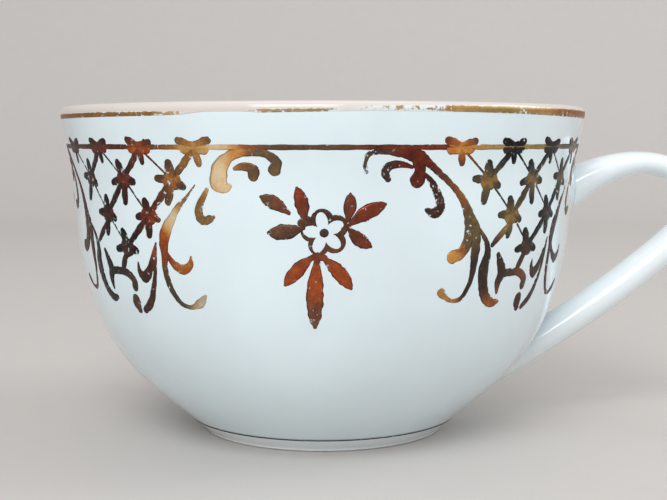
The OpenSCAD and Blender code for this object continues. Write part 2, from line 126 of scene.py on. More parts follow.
def piece(name, skins, finish, slot, *nodes, marks=()):
    """One object of closed skins, each a grid with one ring in each row and any marks as further numbers.
    Quads join the rings. A skin that ends on its first ring is joined up there, and any other is closed by a
    fan to the middle of its first and last ring."""
    points, faces, first = [], [], 0
    for grid in skins:
        joined = np.array_equal(grid[0], grid[-1])
        grid = grid[:-1] if joined else grid
        rows, columns = grid.shape[:2]
        points.append(grid.reshape(rows * columns, -1))
        ring = np.arange(columns)
        beside = np.roll(ring, -1)
        here = first + np.arange(rows if joined else rows - 1)[:, None] * columns
        above = first + (here - first + columns) % (rows * columns)
        quads = np.stack([here + ring, here + beside, above + beside, above + ring], axis=-1)
        faces += quads.reshape(-1, 4).tolist()
        if not joined:
            points.append(grid[[0, -1]].mean(axis=1))
            pole, last = first + rows * columns, first + (rows - 1) * columns
            faces += np.stack([first + beside, first + ring, pole + 0 * ring], axis=1).tolist()
            faces += np.stack([last + ring, last + beside, pole + 1 + 0 * ring], axis=1).tolist()
        first = sum(map(len, points))
    points = np.concatenate(points)
    mesh = bpy.data.meshes.new(name)
    mesh.from_pydata(points[:, :3].tolist(), [], faces)
    for number, mark in enumerate(marks):
        values = np.ascontiguousarray(points[:, 3 + number], dtype=np.float32)
        mesh.attributes.new(mark, "FLOAT", "POINT").data.foreach_set("value", values)
    mesh.shade_smooth()
    mesh.materials.append(finish)
    made = bpy.data.objects.new(name, mesh)
    bpy.context.scene.collection.objects.link(made)
    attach(made, "root")
    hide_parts(*nodes)


def feed(tree, fed, inputs):
    """Sets inputs of a shader node to values, or joins them to other nodes' sockets."""
    for name, value in inputs.items():
        if isinstance(value, bpy.types.NodeSocket):
            tree.links.new(value, fed.inputs[name])
        else:
            fed.inputs[name].default_value = value


def node(tree, kind, inputs, **settings):
    """A new shader node with its inputs and settings."""
    made = tree.nodes.new("ShaderNode" + kind)
    for name, value in settings.items():
        setattr(made, name, value)
    feed(tree, made, inputs)
    return made


def new_finish(name):
    """A new material with its node tree, its shader and the socket that gives places on the object."""
    made = bpy.data.materials.new(name)
    made.use_nodes = True
    tree = made.node_tree
    return made, tree, tree.nodes["Principled BSDF"], node(tree, "TexCoord", {}).outputs["Object"]


def combined(tree, operation, first, second):
    """Two numbers put together by an operation of the Math node, as a socket."""
    return node(tree, "Math", {0: first, 1: second}, operation=operation).outputs[0]


def sum_of(tree, first, second, scale):
    """First plus scale times second, as a socket."""
    return node(tree, "Math", {0: second, 1: scale, 2: first}, operation="MULTIPLY_ADD").outputs[0]


def ramp(tree, value, low, high):
    """Smooth step from 0 at low to 1 at high, as a socket."""
    inputs = {0: value, 1: low, 2: high}
    return node(tree, "MapRange", inputs, interpolation_type="SMOOTHSTEP").outputs[0]


def spread(tree, value, first, last, low=0.0, high=1.0):
    """Even change from first, where value is low, to last, where it is high, as a socket."""
    return node(tree, "MapRange", {0: value, 1: low, 2: high, 3: first, 4: last}).outputs[0]


def mixed(tree, share, first, second):
    """First colour, changing to the second as share goes from 0 to 1, as a socket."""
    return node(tree, "Mix", {0: share, 6: first, 7: second}, data_type="RGBA").outputs[2]


def noise(tree, place, size, detail=2.0, roughness=0.5):
    """Cloudy noise from 0 to 1 with lumps about that size in metres, as a socket."""
    inputs = {"Vector": place, "Scale": 1 / size, "Detail": detail, "Roughness": roughness}
    return node(tree, "TexNoise", inputs).outputs["Fac"]


def porcelain(name, white, shade):
    """Glazed porcelain: a white body that shades a little in broad clouds, with rare iron specks, under a
    clear glaze that ripples over a few millimetres."""
    made, tree, shader, place = new_finish(name)
    clouds = noise(tree, place, cloud_size, detail=3.0)
    body = mixed(tree, ramp(tree, clouds, cloud_from, cloud_full), white, shade)
    specks = node(tree, "TexVoronoi", {"Vector": place, "Scale": 1 / speck_pitch})
    rare = combined(tree, "GREATER_THAN", specks.outputs["Color"], speck_rare)
    spot = ramp(tree, specks.outputs["Distance"], speck_r / speck_pitch, speck_core / speck_pitch)
    speck = combined(tree, "MULTIPLY", rare, spot)
    ripple = noise(tree, place, ripple_size)
    bump = node(tree, "Bump", {"Height": ripple, "Strength": ripple_strength, "Distance": ripple_depth})
    feed(tree, shader, {
        "Base Color": mixed(tree, speck, body, iron_grey), "Normal": bump.outputs[0],
        "Roughness": spread(tree, clouds, glaze_smooth, glaze_dull),
        "Subsurface Weight": glow_share, "Subsurface Scale": glow_depth,
        "Coat Weight": coat_share, "Coat Roughness": coat_rough,
    })
    return made


glazed = porcelain("glazed_porcelain", cool_white, soft_white)
piece("bowl_glazed", [turned(bowl_profile)], glazed, "glazed_porcelain", "bowl")

# Foot ring
# A low ring of the bowl's own clay, turned while it is leather-hard. Its walls have a thin glaze, coloured a
# little whiter than the bowl as painted light for the brightness bounced up on to them from below, and its
# narrow standing face is wiped bare so that it doesn't stick in the kiln.
stand_r, stand_w, stand_edge = 19.9 * mm, 1.6 * mm, 0.4 * mm
edge_rows, side_rows, face_rows = 9, 8, 6
# Walls coloured whiter than the bowl: painted light for the bounce from below
foot_bounce_white, foot_bounce_shade = (0.88, 0.93, 0.95, 1), (0.84, 0.89, 0.91, 1)
bare_white, bare_smooth, bare_rough = (0.62, 0.60, 0.56, 1), 0.12, 0.75
bare_from, bare_full, bare_ragged, bare_grain = 0.10 * mm, -0.06 * mm, 0.3 * mm, 0.5 * mm
edge_turn = np.linspace(0, np.pi / 2, edge_rows)[:, None]
edge_out = np.hstack([stand_r + stand_edge * np.sin(edge_turn), stand_edge * (1 - np.cos(edge_turn))])
edge_in = np.hstack([2 * stand_r - stand_w - edge_out[:, :1], edge_out[:, 1:]])[::-1]
foot_wall = edge_out[-1] + np.linspace(0, 1, side_rows)[1:, None] * (joint - edge_out[-1])
recess_top = np.array([recess_r, foot_z])
recess_wall = recess_top + np.linspace(0, 1, side_rows)[:-1, None] * (edge_in[0] - recess_top)
stand_face = edge_in[-1] + np.linspace(0, 1, face_rows)[1:-1, None] * (edge_out[0] - edge_in[-1])
foot_profile = np.vstack([recess_wall, edge_in, stand_face, edge_out, foot_wall])


def foot_bounce_porcelain():
    """The glaze, coloured a little whiter as painted light for the brightness bounced up from below, ending
    in a ragged line just above the standing face, which is bare, rough and greyer: bare where the height,
    less a grainy noise, is low."""
    made = porcelain("foot_bounce_porcelain", foot_bounce_white, foot_bounce_shade)
    tree = made.node_tree
    shader = tree.nodes["Principled BSDF"]
    place = node(tree, "TexCoord", {}).outputs["Object"]
    height = node(tree, "SeparateXYZ", {0: place}).outputs["Z"]
    grain = noise(tree, place, bare_grain, detail=6.0, roughness=0.7)
    bare = ramp(tree, sum_of(tree, height, grain, -bare_ragged), bare_from, bare_full)
    glaze = shader.inputs["Base Color"].links[0].from_socket
    feed(tree, shader, {"Base Color": mixed(tree, bare, glaze, bare_white),
                        "Roughness": spread(tree, bare, bare_smooth, bare_rough)})
    return made


piece("foot_ring_glazed", [closed(turned(foot_profile))], foot_bounce_porcelain(), "glazed_porcelain", "foot_ring")

# Handle
# An ear of porcelain, slip-cast and coloured a little whiter than the bowl as painted light for the brighter
# light it catches: an oval arm that rises from the wall, bends round a nose and falls back near the foot.
# Both roots flare where they were trimmed to the wall.
handle_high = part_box("handle")[1]
nose_drop, upper_root_drop, lower_root_z = 16.8 * mm, 15.3 * mm, 8.4 * mm
upper_rise, lower_rise = np.radians([34.5, 16])
upper_pull, lower_pull, nose_pull = 22 * mm, 12.5 * mm, 4.4 * mm
upper_arm_t, lower_arm_t, arm_w = 3.8 * mm, 5.4 * mm, 7 * mm
upper_flare, lower_flare, root_flare_w = 3.7 * mm, 2.2 * mm, 3.5 * mm
upper_root_share, lower_root_share, nose_share = 0.22, 0.2, 0.5
thicken_from, thicken_to = 0.3, 0.75
upper_root_depth, lower_root_depth, root_sink = wall_t, 2 * wall_t, 0.006
line_steps, search_steps, arm_rows, arm_columns = 201, 1601, 170, 72
# Whiter than the bowl's porcelain: painted light, a lit copy of its colours
handle_lit_white, handle_lit_shade = (0.84, 0.91, 0.935, 1), (0.80, 0.87, 0.90, 1)


def wall_r(height):
    """Radius of the outer wall at a height."""
    return np.interp(height, outer[:, 1], outer[:, 0])


def swell(distance, share):
    """Falls from 1 at a root to 0 at that share of the handle's length, flattening as it goes."""
    return np.maximum(0, 1 - distance / share) ** 2


def arm_thickness(u):
    """Thickness in the handle's plane: upper to lower arm by an eased step, and more at each root."""
    step = np.clip((u - thicken_from) / (thicken_to - thicken_from), 0, 1)
    return (upper_arm_t + (lower_arm_t - upper_arm_t) * step**2 * (3 - 2 * step)
            + upper_flare * swell(u, upper_root_share) + lower_flare * swell(1 - u, lower_root_share))


nose = np.array([handle_high.x - arm_thickness(nose_share) / 2, lip_z - nose_drop])
upper_root = np.array([wall_r(lip_z - upper_root_drop) - upper_root_depth, lip_z - upper_root_drop])
lower_root = np.array([wall_r(lower_root_z) - lower_root_depth, lower_root_z])
arm_line = np.vstack([
    curve(upper_root, upper_root + upper_pull * towards(upper_rise),
          nose + [0, nose_pull], nose, line_steps),
    curve(nose, nose - [0, nose_pull],
          lower_root + lower_pull * towards(lower_rise), lower_root, line_steps)[1:],
])
arm_dir = along(arm_line)
arm_u = np.linspace(0, 1, len(arm_line))


def arm_skin(u, a):
    """The handle's surface: an oval across the centre line at u, 0 at the upper and 1 at the lower root, at
    the angle a round it."""
    x, z = (np.interp(u, arm_u, arm_line[:, k]) for k in (0, 1))
    dx, dz = (np.interp(u, arm_u, arm_dir[:, k]) for k in (0, 1))
    high = arm_thickness(u) / 2 * np.cos(a)
    flare_w = root_flare_w * (swell(u, upper_root_share) + swell(1 - u, lower_root_share))
    wide = (arm_w + flare_w) / 2 * np.sin(a)
    return np.stack([x - high * dz, wide, z + high * dx], axis=-1)


def wall_crossings(a):
    """Where each line of the handle's surface leaves the wall at the upper root and ends at the lower:
    between the last step inside the wall and the first one outside it, where the gap to the wall is 0."""
    u = np.linspace(0, 1, search_steps)
    p = arm_skin(u[:, None], a)
    gap = np.hypot(p[..., 0], p[..., 1]) - wall_r(p[..., 2])
    first_out, last_out = (gap > 0).argmax(axis=0), len(u) - 1 - (gap > 0)[::-1].argmax(axis=0)
    crossings = []
    for inside, outside in ((first_out - 1, first_out), (last_out + 1, last_out)):
        gap_in, gap_out = (np.take_along_axis(gap, step[None], axis=0)[0] for step in (inside, outside))
        crossings.append(u[inside] + (u[outside] - u[inside]) * gap_in / (gap_in - gap_out))
    return crossings


arm_a = np.linspace(0, 2 * np.pi, arm_columns, endpoint=False)
upper_u, lower_u = wall_crossings(arm_a)
share = np.linspace(0, 1, arm_rows)[:, None]
arm_grid = arm_skin(upper_u - root_sink + (lower_u - upper_u + 2 * root_sink) * share, arm_a)
# The handle's porcelain, whiter as painted light
lit_handle_finish = porcelain("lit_handle_porcelain", handle_lit_white, handle_lit_shade)
piece("handle_glazed", [arm_grid[:, ::-1]], lit_handle_finish, "glazed_porcelain", "handle")

# Luting slip
# Liquid porcelain that sticks the handle's two roots to the bowl. It is wiped to a small hollow fillet round
# each root before it dries, and the glaze runs over it.
slip_reach, slip_sink, skin_sink = 1.1 * mm, 0.4 * mm, 0.03 * mm
slip_rows, arm_step = 12, 0.02


def slip_ring(root_u, step):
    """A fillet round a root: a curve from the wall to the arm, drawn in to the corner between them and
    carried round the root, closed by one line inside the corner. The arm is found a step away from it."""
    corner = arm_skin(root_u, arm_a)
    grow = arm_skin(root_u + step, arm_a) - corner
    on_arm = corner + grow * slip_reach / np.linalg.norm(grow, axis=1, keepdims=True)
    turn, height = np.arctan2(corner[:, 1], corner[:, 0]), corner[:, 2]
    radius = wall_r(height)
    away = np.stack([radius * (turn - turn.mean()), height - height.mean()], axis=1)
    away *= slip_reach / np.linalg.norm(away, axis=1, keepdims=True)
    turn, height = turn + away[:, 0] / radius, height + away[:, 1]
    reach = wall_r(height) - skin_sink
    on_wall_side = np.stack([reach * np.cos(turn), reach * np.sin(turn), height], axis=1)
    t = np.linspace(0, 1, slip_rows)[:, None, None]
    fillet = (1 - t) ** 2 * on_wall_side + 2 * t * (1 - t) * corner + t**2 * on_arm
    inside = corner * [1 - slip_sink / rim_r, 1 - slip_sink / rim_r, 1]
    return np.concatenate([fillet, inside[None]])


upper_slip, lower_slip = slip_ring(upper_u, arm_step), slip_ring(lower_u, -arm_step)
slipped = porcelain("slip_porcelain", cool_white, soft_white)
piece("handle_upper_slip_fillet", [closed(upper_slip[:, ::-1])], slipped, "luting_slip", "handle_upper_slip")
piece("handle_lower_slip_fillet", [closed(lower_slip)], slipped, "luting_slip", "handle_lower_slip")

# Lines of gold
# Liquid gold brushed on the glaze as the cup turns on a wheel, and fired: a band over the rim, a border line
# under it and a hair line at the foot. Years of use have tarnished it in patches and rubbed the lip bare,
# and
# its tones hold painted reflection too: dark brown for a dark room mirrored in it, pale cream and orange
# glints.
border_drop, panel_drop = 6.2 * mm, 13 * mm
border_z = lip_z - border_drop
degree = float(wall_r(border_z - panel_drop)) * np.pi / 180
film_t, film_edge, film_root = 0.05 * mm, -0.004 * mm, -0.03 * mm
gold_marks = ("tone", "hue", "wear", "edge")
lip_cream, cream_from, cream_full = (0.70, 0.645, 0.60, 1), 0.5, 0.85
# Scales from dark to pale gold, the dark end partly tarnish and partly painted reflection, the pale end
# partly
# painted glint: depth of tone and colour
red_scale = [
    (0.0, (0.016, 0.006, 0.006)), (0.2, (0.095, 0.020, 0.014)), (0.34, (0.25, 0.042, 0.020)),
    (0.46, (0.46, 0.10, 0.022)), (0.62, (0.76, 0.36, 0.085)), (0.8, (0.90, 0.65, 0.33)),
    (1.0, (0.94, 0.85, 0.68)),
]
olive_scale = [
    (0.0, (0.010, 0.010, 0.009)), (0.2, (0.050, 0.043, 0.036)), (0.36, (0.15, 0.11, 0.055)),
    (0.5, (0.32, 0.215, 0.065)), (0.66, (0.47, 0.37, 0.20)), (0.82, (0.62, 0.54, 0.45)),
    (1.0, (0.84, 0.80, 0.74)),
]
# Noise in the gold: sizes, and the shares of patches and grain in its tone
patch_size, grain_size, rub_size = 1.6 * mm, 0.35 * mm, 0.7 * mm
patch_share, grain_share = 0.30, 0.20
# Its margins: width and darkness where it is burnt, and width where it is rubbed
burnt_w, burnt_dark, rubbed_w = 0.2 * mm, 0.1, 0.22 * mm
# Rubbing: how far wear and the margin lower the noise, and the levels at which gold is whole and bare
wear_share, rubbed_share, whole_from, bare_to = 0.42, 0.09, 0.33, 0.25
# Its shine: how metallic it is, and roughness at the lowest and highest level of its grit
gold_metal, gold_smooth, gold_rough = 0.85, 0.12, 0.5
smooth_from, rough_to = -0.5, 0.8
grain_depth, grain_strength = 0.01 * mm, 0.25
# Patches of tarnish and painted reflection: turn, height and size in mm, tone (0 dark, 1 pale), hue (0 red,
# 1 olive) and wear. The pale cream patches near -30 to -20 degrees and the bright orange one at 27 are
# painted glints, and the dark brown is partly a painted reflection of a dark room.
tarnish_and_reflection_patches = np.array([
    (-66, 46, 5, 0.20, 0.1, 0.1), (-50, 47, 3.5, 0.30, 0.0, 0.1), (-38, 47, 3, 0.46, 0.05, 0.1),
    (-26, 47, 3, 0.62, 0.4, 0.1), (-56, 41, 4, 0.13, 0.15, 0.2), (-44, 42, 3.5, 0.28, 0.1, 0.15),
    (-31, 42.5, 2.4, 0.50, 0.4, 0.2), (-37, 37.5, 3, 0.35, 0.0, 0.15), (-45, 32.5, 3, 0.20, 0.4, 0.15),
    (-51, 29, 3, 0.05, 0.9, 0.1), (-45, 27, 2.4, 0.26, 0.9, 0.1), (-39, 28, 2.6, 0.20, 0.5, 0.1),
    (-25, 39, 3, 0.43, 0.85, 0.15), (-31.5, 37, 1.8, 0.98, 0.2, 0.2), (-33.5, 33, 2.4, 0.41, 0.05, 0.1),
    (-32.5, 27, 3, 0.28, 1.0, 0.15), (-29.5, 30.3, 1.5, 0.54, 0.0, 0.1), (-25.5, 25.5, 1.8, 0.78, 0.9, 0.2),
    (-20.5, 43, 2.6, 0.88, 0.05, 0.1), (-16.5, 46.2, 1.5, 0.6, 0.15, 0.05), (-10.5, 45, 2.6, 0.34, 0.9, 0.1),
    (-15.5, 43.8, 1.3, 0.32, 0.85, 0.1),
    (0, 36, 3.2, 0.22, 0.75, 0.1), (-5, 40, 2.4, 0.33, 0.0, 0.1), (-10, 37.5, 3, 0.30, 0.75, 0.15),
    (9, 37.5, 2.8, 0.32, 0.1, 0.15), (0, 29, 3.6, 0.42, 0.0, 0.08), (-1.5, 23.6, 2.4, 0.32, 0.65, 0.2),
    (9, 44.5, 2.4, 0.24, 0.9, 0.27), (17.5, 45, 2.6, 0.25, 0.0, 0.05), (23.4, 40.5, 2.6, 0.18, 0.55, 0.2),
    (27, 47, 2.6, 0.58, 0.05, 0.02), (27.5, 41.5, 2, 0.50, 0.45, 0.15), (47, 47, 6, 0.05, 0.85, 0.12),
    (36, 41.5, 3.4, 0.49, 0.85, 0.08), (48, 42.6, 2.8, 0.64, 1.0, 0.12), (42, 37.5, 2.6, 0.50, 0.9, 0.08),
    (30, 35.5, 2.4, 0.36, 1.0, 0.1), (26.5, 31.8, 1.8, 0.62, 0.1, 0.04), (25, 26.4, 1.8, 0.56, 0.5, 0.15),
    (35, 29.5, 3.2, 0.19, 0.8, 0.08), (38.5, 24.8, 1.8, 0.44, 0.4, 0.1), (47, 30.5, 3, 0.23, 0.7, 0.12),
    (46.8, 28.8, 1.2, 0.48, 0.35, 0.06), (57, 33, 5, 0.17, 0.72, 0.15), (70, 41, 5, 0.40, 0.9, 0.2),
])
plain_tarnish_and_reflection = np.array([0.22, 0.35, 0.12])
plain_share = 0.02


def like_front(turn):
    """The turn from -90 to 90 degrees that looks the same, because the back is like the front."""
    return (turn + 90) % 180 - 90


def tarnish_and_reflection(turn, height):
    """Tone, hue and wear of the gold, tarnish and painted reflection alike: the patches blended by a bell
    round each.
    """
    place, size = tarnish_and_reflection_patches[:, :2], tarnish_and_reflection_patches[:, 2]
    sideways = like_front(turn[..., None] - place[:, 0]) * degree / mm
    upwards = height[..., None] / mm - place[:, 1]
    near = np.exp(-(sideways**2 + upwards**2) / size**2)
    blend = near @ tarnish_and_reflection_patches[:, 3:] + plain_share * plain_tarnish_and_reflection
    return blend / (near.sum(axis=-1) + plain_share)[..., None]


def on_wall(turn, height, lift):
    """The point of the outer wall at that turn and height, moved out along the wall's normal by lift."""
    out, up = (np.interp(height, outer[:, 1], outward[:, k]) for k in (0, 1))
    radius = wall_r(height) + lift * out
    angle = np.radians(turn)
    return np.stack([radius * np.sin(angle), -radius * np.cos(angle), height + lift * up], axis=-1)


def colour_scale(tree, depth, stops):
    """The colour at that depth of tone, between the stops of a scale, as a socket."""
    scale = node(tree, "ValToRGB", {0: depth})
    elements = scale.color_ramp.elements
    for position, _ in stops[1:-1]:
        elements.new(position)
    for element, (position, colour) in zip(elements, stops):
        element.position = position
        element.color = (*colour, 1)
    return scale.outputs["Color"]


def worn_gold():
    """Fired gold: tones from tarnished brown to pale gold along a red and an olive scale, painted reflection
    in them too (dark brown for a dark room, pale cream for glints), mottled in fine grain, and rubbed
    through to the glaze where the wear mark and the noise meet, most of all along its edges. Pale gold
    leaves a cream stain where it is rubbed through."""
    made, tree, shader, place = new_finish("worn_gold")
    tone, hue, wear, edge = (
        node(tree, "Attribute", {}, attribute_name=mark).outputs["Fac"] for mark in gold_marks)
    patches = noise(tree, place, patch_size, detail=4.0, roughness=0.6)
    grain = noise(tree, place, grain_size, detail=3.0, roughness=0.6)
    shaded = sum_of(tree, tone, ramp(tree, edge, burnt_w, 0.0), -burnt_dark)
    mottled = sum_of(tree, sum_of(tree, shaded, patches, patch_share), grain, grain_share)
    depth = combined(tree, "SUBTRACT", mottled, (patch_share + grain_share) / 2)
    gold = mixed(tree, hue, colour_scale(tree, depth, red_scale), colour_scale(tree, depth, olive_scale))
    rub = noise(tree, place, rub_size, detail=5.0, roughness=0.7)
    margin = ramp(tree, edge, rubbed_w, 0.0)
    limit = sum_of(tree, sum_of(tree, rub, wear, -wear_share), margin, -rubbed_share)
    bare = ramp(tree, limit, whole_from, bare_to)
    stained = mixed(tree, ramp(tree, tone, cream_from, cream_full), cool_white, lip_cream)
    grit = sum_of(tree, grain, bare, -1.0)
    bump = node(tree, "Bump", {"Height": grain, "Strength": grain_strength, "Distance": grain_depth})
    feed(tree, shader, {
        "Base Color": mixed(tree, bare, gold, stained), "Normal": bump.outputs[0],
        "Metallic": spread(tree, bare, gold_metal, 0.0),
        "Roughness": spread(tree, grit, gold_smooth, gold_rough, smooth_from, rough_to),
    })
    return made


gold = worn_gold()
turn_steps = 900
turns = np.linspace(-180, 180, turn_steps, endpoint=False)
# A film's section: shares of its half width over its top, and back under it
over_top, under_it = [-1, -0.7, -0.35, 0, 0.35, 0.7, 1], [0.5, -0.5]
across = np.array(over_top + under_it)
film_top = np.arange(len(across)) < len(over_top)
bulge = np.where(film_top, 1 - across**4, 0)
film_lift = np.where(film_top, film_edge + (film_t - film_edge) * bulge, film_root)
# Wavers of a brushed line: share of its width, and how many go round the cup
waver_share, slow_waver, quick_waver = 0.05, 37, 91


def band(middle, width, marks):
    """A line of gold round the wall: a flat film with thin edges at the height middle, with the marks of
    each turn, in one closed ring."""
    waver = np.sin(np.radians(turns * slow_waver)) + np.sin(np.radians(turns * quick_waver) + 1)
    height = middle + across[:, None] * width / 2 * (1 + waver_share * waver)
    points = on_wall(turns + 0 * height, height, film_lift[:, None])
    edge = (1 - np.abs(across))[:, None] * width / 2 + 0 * height
    marks = np.broadcast_to(np.stack(marks, axis=-1), points.shape[:2] + (len(marks),))
    return closed(np.concatenate([points, marks, edge[..., None]], axis=-1))


# Tone and hue of the border line at turns from the front, partly tarnish and partly painted reflection: the
# pale stretch near -25 to -20 degrees and the orange near 27 are painted glints
border_turns = [-65, -42, -33, -25, -20, -15, -9, 2, 12, 24, 27, 33, 44, 52, 65]
border_tone = [0.20, 0.26, 0.38, 0.70, 0.86, 0.45, 0.30, 0.32, 0.27, 0.32, 0.60, 0.58, 0.54, 0.44, 0.24]
border_hue = [0.1, 0.05, 0.6, 0.3, 0.2, 0.3, 0.75, 0.75, 0.1, 0.0, 0.1, 0.7, 1.0, 0.9, 0.8]
border_w, border_wear = 0.75 * mm, 0.06
border_marks = [np.interp(like_front(turns), border_turns, mark) for mark in (border_tone, border_hue)]
border = band(border_z, border_w, border_marks + [border_wear + 0 * turns])
piece("border_line_gold", [border], gold, "fired_gold", "border_line", marks=gold_marks)

# The foot line: its width, and its tone, hue, wear and edge marks
foot_line_w, foot_line_marks = 0.32 * mm, (0.06, 0.85, 0.1, 1.0)
foot_slope = (joint - edge_out[-1]) / np.linalg.norm(joint - edge_out[-1])
foot_spots = joint + np.outer(across * foot_line_w / 2 - foot_line_w / 2, foot_slope)
foot_spots += np.outer(film_lift, [foot_slope[1], -foot_slope[0]])
foot_points = turned(foot_spots, turn_steps)
foot_marks = np.broadcast_to(foot_line_marks, foot_points.shape[:2] + (len(gold_marks),))
foot_grid = np.concatenate([foot_points, foot_marks], axis=-1)
piece("foot_line_gold", [closed(foot_grid)], gold, "fired_gold", "foot_line", marks=gold_marks)

# The rim band: turn, height in mm of its lower edge and of the top of its full gold, tone, hue and wear
# Its tones are partly tarnish and partly painted reflection; the pale stretch near -27 degrees is a painted
# highlight
rim_stretches = np.array([
    (-180, 51.4, 52.2, 0.44, 0.5, 0.15), (-90, 51.4, 52.05, 0.40, 0.5, 0.14),
    (-50, 51.45, 52.05, 0.46, 0.6, 0.14), (-34, 51.5, 52, 0.50, 0.7, 0.2), (-27, 51.6, 52, 0.75, 0.4, 0.5),
    (-22, 52, 52.2, 0.90, 0.4, 1.4), (-15, 52, 52.2, 0.85, 0.6, 1.1), (-11, 51.8, 52.2, 0.62, 0.8, 0.24),
    (1, 51.95, 52.3, 0.58, 1.0, 0.24), (4, 52, 52.5, 0.75, 0.9, 0.9), (9, 52.05, 52.7, 0.66, 0.9, 0.6),
    (21, 52.05, 52.8, 0.60, 0.8, 0.55), (25, 52, 52.8, 0.62, 0.6, 0.22), (36, 51.9, 52.8, 0.54, 1.0, 0.2),
    (48, 51.75, 52.75, 0.58, 0.7, 0.24), (58, 51.6, 52.7, 0.43, 0.45, 0.22),
    (90, 51.45, 52.5, 0.46, 0.5, 0.18), (180, 51.4, 52.2, 0.44, 0.5, 0.15),
])
rim_low, rim_full, rim_tone, rim_hue, rim_rub = (
    np.interp(turns, rim_stretches[:, 0], column) for column in rim_stretches[:, 1:].T)
rim_turn_over = np.radians(110)
# Its film: rows up the wall, which of them return underneath and how deep, the slope of its thin edges, and
# the mm over which full gold is rubbed to a stain
rim_rows, root_every, rim_root = 14, 6, 0.06 * mm
edge_slope, rub_height = 8, 0.35
lip_stain, lip_rub = 1.0, 1.6


def rim_band():
    """Gold from the band's lower edge up the wall and over the lip, rubbed to a pale stain above its full
    height, with a thin edge at both sides and closed underneath."""
    rise = np.linspace(0, 1, rim_rows)[:, None]
    height = rim_low * mm + (wall_top[1] - rim_low * mm) * rise
    up_wall = on_wall(turns + 0 * height, height, np.minimum(rise * edge_slope, 1) * film_t + film_edge)
    bend = rise[1:] * (rim_turn_over + rim_lean) - rim_lean
    reach = lip_t / 2 + film_t * np.minimum((rim_turn_over - bend) * edge_slope, 1) + film_edge
    over_lip = turned(lip_mid + reach * np.hstack([np.cos(bend), np.sin(bend)]), turn_steps)
    top = np.concatenate([up_wall, np.roll(over_lip, turn_steps // 2, axis=1)])
    inwards = np.stack([-np.sin(np.radians(turns)), np.cos(np.radians(turns)), 0 * turns], axis=-1)
    grid = np.concatenate([top, top[::-root_every] + rim_root * inwards])
    fade = np.clip((grid[..., 2] / mm - rim_full) / rub_height, 0, 1)
    tone = rim_tone + (lip_stain - rim_tone) * fade
    wear = rim_rub + (lip_rub - rim_rub) * fade
    edge = np.clip(grid[..., 2] - rim_low * mm, 0, mm)
    marks = np.stack(np.broadcast_arrays(tone, rim_hue, wear, edge), axis=-1)
    return closed(np.concatenate([grid, marks], axis=-1))


piece("rim_gilding_gold", [rim_band()], gold, "fired_gold", "rim_gilding", marks=gold_marks)

# Trellis transfers
# Gold transfers slid on to the glaze under the border line, four round the cup: rows of florets that hang in
# a point, joined by fine bars that fall to the right and broad leafy bars that fall to the left.
# Strokes: mm between points, least points, least width, half width of a full film, and reddening by tone
stroke_step, least_points, least_w, full_half, redder = 0.12, 10, 0.08, 0.3, 2
cap_rows, cap_from = 6, 0.1
# Waves of a stroke's edges: radians for each mm to the right and upwards
edge_waves = np.array([(3.1, 2.3), (-2.7, 4.3), (6.1, -4.7)])


def smooth_line(places, step):
    """A Catmull-Rom curve through the places, as points about step apart along their first two numbers."""
    p = np.asarray(places, float)
    count = max(least_points, int(np.hypot(*np.diff(p[:, :2], axis=0).T).sum() / step))
    t = np.linspace(0, len(p) - 1, count)
    i = np.minimum(t.astype(int), len(p) - 2)
    f = (t - i)[:, None]
    a, b, c, d = (p[np.clip(i + k, 0, len(p) - 1)] for k in (-1, 0, 1, 2))
    return 0.5 * (2 * b + (c - a) * f + (2 * a - 5 * b + 4 * c - d) * f**2 + (3 * b - 3 * c + d - a) * f**3)


def stroke(places, turn, fade=0.0, dull=0.0, ragged=0.03):
    """A brush stroke on the wall: a thin film along a smooth line through the places, with round ends.
    A place is mm to the right of the motif's middle, mm above the border line and the width there in mm.
    Its edges waver by ragged. Its tone shifts by fade from start to end and sinks by dull all along, and it
    is redder where it gets paler."""
    line = smooth_line(places, stroke_step)
    half = np.maximum(line[:, 2], least_w) / 2
    ahead = along(line[:, :2])
    cap = np.linspace(cap_from, 1, cap_rows) * np.pi / 2
    out, wide = np.cos(cap)[:, None], np.sin(cap)
    first = line[0, :2] - ahead[0] * half[0] * out
    last = line[-1, :2] + ahead[-1] * half[-1] * out[::-1]
    spots = np.concatenate([first, line[1:-1, :2], last])
    half = np.concatenate([half[0] * wide, half[1:-1], half[-1] * wide[::-1]])
    ahead = np.pad(ahead, ((cap_rows - 1, cap_rows - 1), (0, 0)), "edge")
    side = np.stack([ahead[:, 1], -ahead[:, 0]], axis=1)
    reach = half[:, None] * across
    flat = spots[:, None] + side[:, None] * reach[..., None]
    waver = np.sin(flat @ edge_waves.T + [turn, 0, 0]).sum(axis=-1)
    flat += side[:, None] * (reach * ragged * waver)[..., None]
    where, height = turn + flat[..., 0] * mm / degree, border_z + flat[..., 1] * mm
    thin = np.minimum(half / full_half, 1)[:, None]
    marks = tarnish_and_reflection(where, height)
    shift = fade * np.linspace(0, 1, len(spots))[:, None] - dull
    marks[..., 0] += shift
    marks[..., 1] = np.clip(marks[..., 1] - redder * shift, 0, 1)
    edge = (1 - np.abs(across)) * half[:, None] * mm
    lift = np.where(film_top, film_edge + (film_t - film_edge) * bulge * thin, film_root)
    return np.concatenate([on_wall(where, height, lift), marks, edge[..., None]], axis=-1)


floret_pitch = 9.5
# Rows of florets: mm to the right of the panel's middle and above the border line
row_middles = ((0, 0), (0.6, -4.5), (0.8, -9.6), (0.4, -14.4))
row_count = len(row_middles)
# A floret's middle: half width and height on the border line, the same where it hangs, and drop
line_middle, hung_middle, middle_drop = (1.4, 1.8), (0.15, 2.9), 0.15
